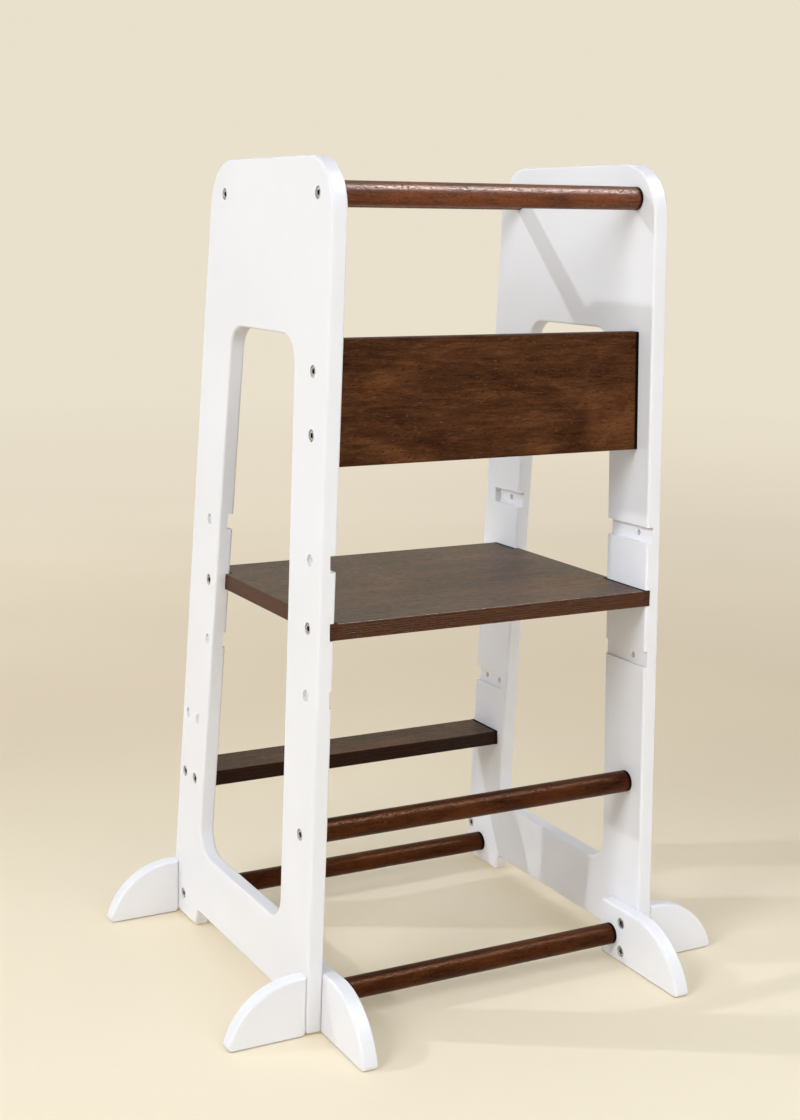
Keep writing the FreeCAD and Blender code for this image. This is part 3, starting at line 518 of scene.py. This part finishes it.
def bolt_places(node):
    """Low and high corner of each bolt in a CAD group, from the node's own mesh.  Points belong
    to the same bolt when they are on the same side of the stool and near each other in Y and Z."""
    mesh = NODES[node].data
    points = np.empty(len(mesh.vertices) * 3, np.float32)
    mesh.vertices.foreach_get("co", points)
    left = points.reshape(-1, 3).astype(float)
    found = []
    while len(left):
        first = left[0]
        near = np.all(np.abs(left[:, 1:] - first[1:]) < BOLT_REACH, axis=1)
        near &= np.sign(left[:, 0]) == np.sign(first[0])
        found.append((left[near].min(0), left[near].max(0)))
        left = left[~near]
    return found


# ---------------------------------------------------------------- operators
class STOOL_OT_painted_parts(bpy.types.Operator):
    """Paint the panels and feet"""
    bl_idname = "stool.painted_parts"
    bl_label = "Painted panels and feet"

    def execute(self, context):
        dress(PAINTED, white_paint(context.scene.stool_paint))
        return {"FINISHED"}


class STOOL_OT_rails(bpy.types.Operator):
    """Turn and stain the five rails"""
    bl_idname = "stool.rails"
    bl_label = "Rails"

    def execute(self, context):
        wood = context.scene.stool_wood
        for name in RAILS:
            low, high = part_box(name)
            middle = (low + high) / 2
            radius = (high.y - low.y) / 2
            # the bottom front rail ends on the toes, the others on the panels themselves
            margin = HALF_GAP - LEAN * low.z - high.x
            top = name.startswith("top")
            # painted shade: the low rails get a darker copy of the stain, for the weaker light they
            # get
            tone = 1.0 if top else wood.low_rail_shade
            stain = rail_stain("Stained " + name.replace("_", " "), wood, HALF_GAP - margin, tone,
                               *(TOP_RAIL_GLOSS if top else LOW_RAIL_GLOSS))
            surface = dowel_surface(middle.y, middle.z, radius, wood.rail_arris, margin)
            build_piece("stained_" + name, [surface], [name], stain)
        return {"FINISHED"}


class STOOL_OT_boards(bpy.types.Operator):
    """Stain the guard board, platform and step"""
    bl_idname = "stool.boards"
    bl_label = "Guard board, platform and step"

    def execute(self, context):
        wood = context.scene.stool_wood
        for name, (axis, gloss, edge, free) in BOARDS.items():
            low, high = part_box(name)
            middle = getattr((low + high) / 2, axis.lower())
            dress([name], board_stain("Stained " + name.replace("_", " "), wood, axis, middle,
                                      getattr(wood, edge), gloss, free))
        return {"FINISHED"}


class STOOL_OT_bolts(bpy.types.Operator):
    """Socket-head bolts in their counterbores, and brass inserts"""
    bl_idname = "stool.bolts"
    bl_label = "Bolts and inserts"

    def execute(self, context):
        sizes = context.scene.stool_bolts
        steel = blackened_steel(sizes)
        for node in OUTSIDE_BOLTS + INSIDE_BOLTS:
            parts = []
            for low, high in bolt_places(node):
                # heads look away from the middle, but those of the feet's bolts look inwards
                outwards = 1 if low[0] > 0 else -1
                way = -outwards if node in INSIDE_BOLTS else outwards
                head_end = high[0] if way > 0 else low[0]
                floor = (head_end - way * HEAD_HEIGHT, (low[1] + high[1]) / 2,
                         (low[2] + high[2]) / 2)
                rings = bolt_rings(sizes.head, sizes.socket, SHANK_RADIUS,
                                   high[0] - low[0] - HEAD_HEIGHT)
                parts.append(bolt_surface(floor, way, rings))
            build_piece("socket_" + node, parts, [node], steel, 30.0)
        dress(INSERTS, plain_brass())
        return {"FINISHED"}


class STOOL_OT_stage(bpy.types.Operator):
    """Pale floor, soft light and the camera"""
    bl_idname = "stool.stage"
    bl_label = "Stage"

    def execute(self, context):
        scene = context.scene
        stage = scene.stool_stage
        scene.view_settings.view_transform = "Standard"
        make_floor(stage)
        make_world(scene, stage)
        make_lights(stage)
        scene.camera = make_camera()
        return {"FINISHED"}


# ---------------------------------------------------------------- stage
def make_floor(stage):
    """Disc of rings u at radius r(u) with angle v round the middle.  Away from the object the
    floor's own light takes over from its shaded surface, and ends in the backdrop's colour."""
    turn = np.linspace(0, 2 * math.pi, 96, endpoint=False)
    reach = np.array([0.0, 0.6, 1.2, 2.4, 4.0, FLOOR_RADIUS])
    points = np.stack([np.outer(reach, np.cos(turn)), np.outer(reach, np.sin(turn)),
                       np.zeros((len(reach), len(turn)))], axis=-1)
    points, quads = grid_surface(points)
    mesh = bpy.data.meshes.new("floor")
    mesh.from_pydata(points.tolist(), [], quads.tolist())
    floor = bpy.data.objects.new("floor", mesh)
    bpy.context.scene.collection.objects.link(floor)

    finish = Finish("Pale floor")
    finish.surface(Base_Color=(*stage.floor, 1), Roughness=0.75)
    distance = finish.add("ShaderNodeVectorMath", {0: finish.place, 1: SHADED_MIDDLE},
                          operation="DISTANCE").outputs["Value"]
    # painted light and shade: the glow takes floor_near close to the object, then the dimmer
    # floor_far a metre away as the shade behind it, then the backdrop's colour
    far = finish.ramp(finish.math("DIVIDE", distance, FLOOR_RADIUS), (0.08, stage.floor_near),
                      (0.18, stage.floor_far), (0.50, blend(stage.floor_far, stage.backdrop, 0.6)),
                      (0.95, stage.backdrop))
    # the lamps stand on the left, so the floor is a little brighter there, and clouds vary it
    across = finish.add("ShaderNodeVectorMath", {0: finish.place, 1: TO_LAMPS},
                        operation="DOT_PRODUCT").outputs["Value"]
    clouds = finish.noise(finish.place, 1.1, 2.0)
    level = finish.math("ADD", finish.span(across, -1.1, 1.1, -0.07, 0.07),
                        finish.span(clouds, 0.3, 0.7, -0.02, 0.02))
    level = finish.math("MULTIPLY_ADD", level, finish.span(distance, 5.5, 2.5), 1.0)
    glow = finish.add("ShaderNodeEmission", {"Color": far, "Strength": level})
    mixed = finish.add("ShaderNodeMixShader", {
        "Fac": finish.span(distance, 0.55, 1.7, stage.floor_glow), 1: finish.shader.outputs[0],
        2: glow.outputs[0]})
    finish.feed(finish.output.inputs["Surface"], mixed.outputs[0])
    mesh.materials.append(finish.material)


def make_world(scene, stage):
    """Soft cool light from all round.  The camera sees the backdrop; reflections see the backdrop
    behind the object and a dim room in front of it."""
    world = bpy.data.worlds.new("Studio")
    scene.world = world
    world.use_nodes = True
    tree = world.node_tree
    tree.nodes.clear()
    path = tree.nodes.new("ShaderNodeLightPath")

    def background(colour, strength):
        shade = tree.nodes.new("ShaderNodeBackground")
        shade.inputs["Color"].default_value = (*colour, 1)
        shade.inputs["Strength"].default_value = strength
        return shade

    def seen_by(ray, shade, others):
        """One shade for one kind of ray and another for all others."""
        choice = tree.nodes.new("ShaderNodeMixShader")
        tree.links.new(path.outputs[ray], choice.inputs[0])
        tree.links.new(others.outputs[0], choice.inputs[1])
        tree.links.new(shade.outputs[0], choice.inputs[2])
        return choice

    # the room brightens from stage.room in front of the object to the backdrop behind it
    behind = tree.nodes.new("ShaderNodeVectorMath")
    behind.operation = "DOT_PRODUCT"
    behind.inputs[1].default_value = TO_BACKDROP
    looks = tree.nodes.new("ShaderNodeTexCoord")
    tree.links.new(looks.outputs["Generated"], behind.inputs[0])
    bright = tree.nodes.new("ShaderNodeMapRange")
    bright.interpolation_type = "SMOOTHSTEP"
    for name, value in (("From Min", -0.1), ("From Max", 0.6), ("To Min", stage.room),
                        ("To Max", 1.0)):
        bright.inputs[name].default_value = value
    tree.links.new(behind.outputs["Value"], bright.inputs["Value"])
    room = background(stage.backdrop, 1.0)
    tree.links.new(bright.outputs["Result"], room.inputs["Strength"])

    seen = seen_by("Is Glossy Ray", room, background(stage.air, stage.ambient))
    seen = seen_by("Is Camera Ray", background(stage.backdrop, 1.0), seen)
    output = tree.nodes.new("ShaderNodeOutputWorld")
    tree.links.new(seen.outputs[0], output.inputs["Surface"])


def keep_even(lamp):
    """Let a lamp reach near and far parts with the same strength, as one far away does, while its
    shadows still spread from where it stands."""
    lamp.use_nodes = True
    tree = lamp.node_tree
    emission = next(node for node in tree.nodes if node.type == "EMISSION")
    falloff = tree.nodes.new("ShaderNodeLightFalloff")
    falloff.inputs["Strength"].default_value = 1.0
    tree.links.new(falloff.outputs["Constant"], emission.inputs["Strength"])


def make_lights(stage):
    """A small hard lamp behind on the left throws the rails' shadows on the far panel, a soft box
    on the left lights the faces, a wide one in front lights the guard board and the edges, and a
    window above on the right draws the bright lines along the rails."""
    for name, kind, place, radius, power, even, hidden_from in (
            ("Key", "POINT", (-1.86, 0.85, 1.60), 0.02, stage.key, True, ""),
            ("Soft box", "AREA", (-1.80, -0.72, 1.60), 0.45, stage.soft_box, True, ""),
            ("Front", "AREA", (0.3, -2.3, 1.55), 0.9, stage.front, False, "visible_glossy"),
            ("Window", "AREA", (1.15, -1.1, 2.8), 0.55, stage.window, False, "visible_diffuse")):
        lamp = bpy.data.lights.new(name, kind)
        if kind == "POINT":
            lamp.shadow_soft_size = radius
        else:
            lamp.shape = "DISK"
            lamp.size = 2 * radius
        lamp.energy = power
        lamp.color = stage.lamps
        if even:
            keep_even(lamp)
        stand = bpy.data.objects.new(name, lamp)
        if hidden_from:
            setattr(stand, hidden_from, False)
        bpy.context.scene.collection.objects.link(stand)
        stand.location = place
        to_stool = Vector((0, 0, 0.4)) - Vector(place)
        stand.rotation_euler = to_stool.to_track_quat("-Z", "Y").to_euler()


def make_camera():
    """Camera at the photograph's place and angle: turned 27.8 degrees from +Y towards +X, looking
    down 11.1 degrees, rolled 0.7 degrees."""
    yaw, pitch, roll = 0.485, 0.193, 0.0117
    forward = Vector((math.sin(yaw) * math.cos(pitch), math.cos(yaw) * math.cos(pitch),
                      -math.sin(pitch)))
    level = Vector((math.cos(yaw), -math.sin(yaw), 0))
    upright = level.cross(forward)
    right = level * math.cos(roll) + upright * math.sin(roll)
    up = right.cross(forward)
    data = bpy.data.cameras.new("Camera")
    data.sensor_fit = "VERTICAL"
    data.sensor_height = 36.0
    data.lens = 56.12
    camera = bpy.data.objects.new("Camera", data)
    bpy.context.scene.collection.objects.link(camera)
    turn = Matrix((right, up, -forward)).transposed().to_4x4()
    camera.matrix_world = Matrix.Translation((-0.9441, -1.7227, 0.8554)) @ turn
    return camera


# ---------------------------------------------------------------- sidebar and registration
class STOOL_PT_panel(bpy.types.Panel):
    """The stool's pieces and settings"""
    bl_idname = "STOOL_PT_panel"
    bl_label = "Helper stool"
    bl_space_type = "VIEW_3D"
    bl_region_type = "UI"
    bl_category = "Stool"

    def draw(self, context):
        for group_name, group in SETTINGS:
            box = self.layout.box()
            box.label(text=group.__doc__)
            for setting in group.__annotations__:
                box.prop(getattr(context.scene, group_name), setting)
        for operator in OPERATORS:
            self.layout.operator(operator.bl_idname)


OPERATORS = (STOOL_OT_painted_parts, STOOL_OT_rails, STOOL_OT_boards, STOOL_OT_bolts,
             STOOL_OT_stage)
CLASSES = tuple(group for _, group in SETTINGS) + OPERATORS + (STOOL_PT_panel,)


def register():
    for cls in CLASSES:
        bpy.utils.register_class(cls)
    for group_name, group in SETTINGS:
        setattr(bpy.types.Scene, group_name, bpy.props.PointerProperty(type=group))


def unregister():
    for group_name, _ in SETTINGS:
        delattr(bpy.types.Scene, group_name)
    for cls in reversed(CLASSES):
        bpy.utils.unregister_class(cls)


def main():
    register()
    bpy.ops.stool.painted_parts()
    bpy.ops.stool.rails()
    bpy.ops.stool.boards()
    bpy.ops.stool.bolts()
    bpy.ops.stool.stage()


if __name__ == "__main__":
    main()
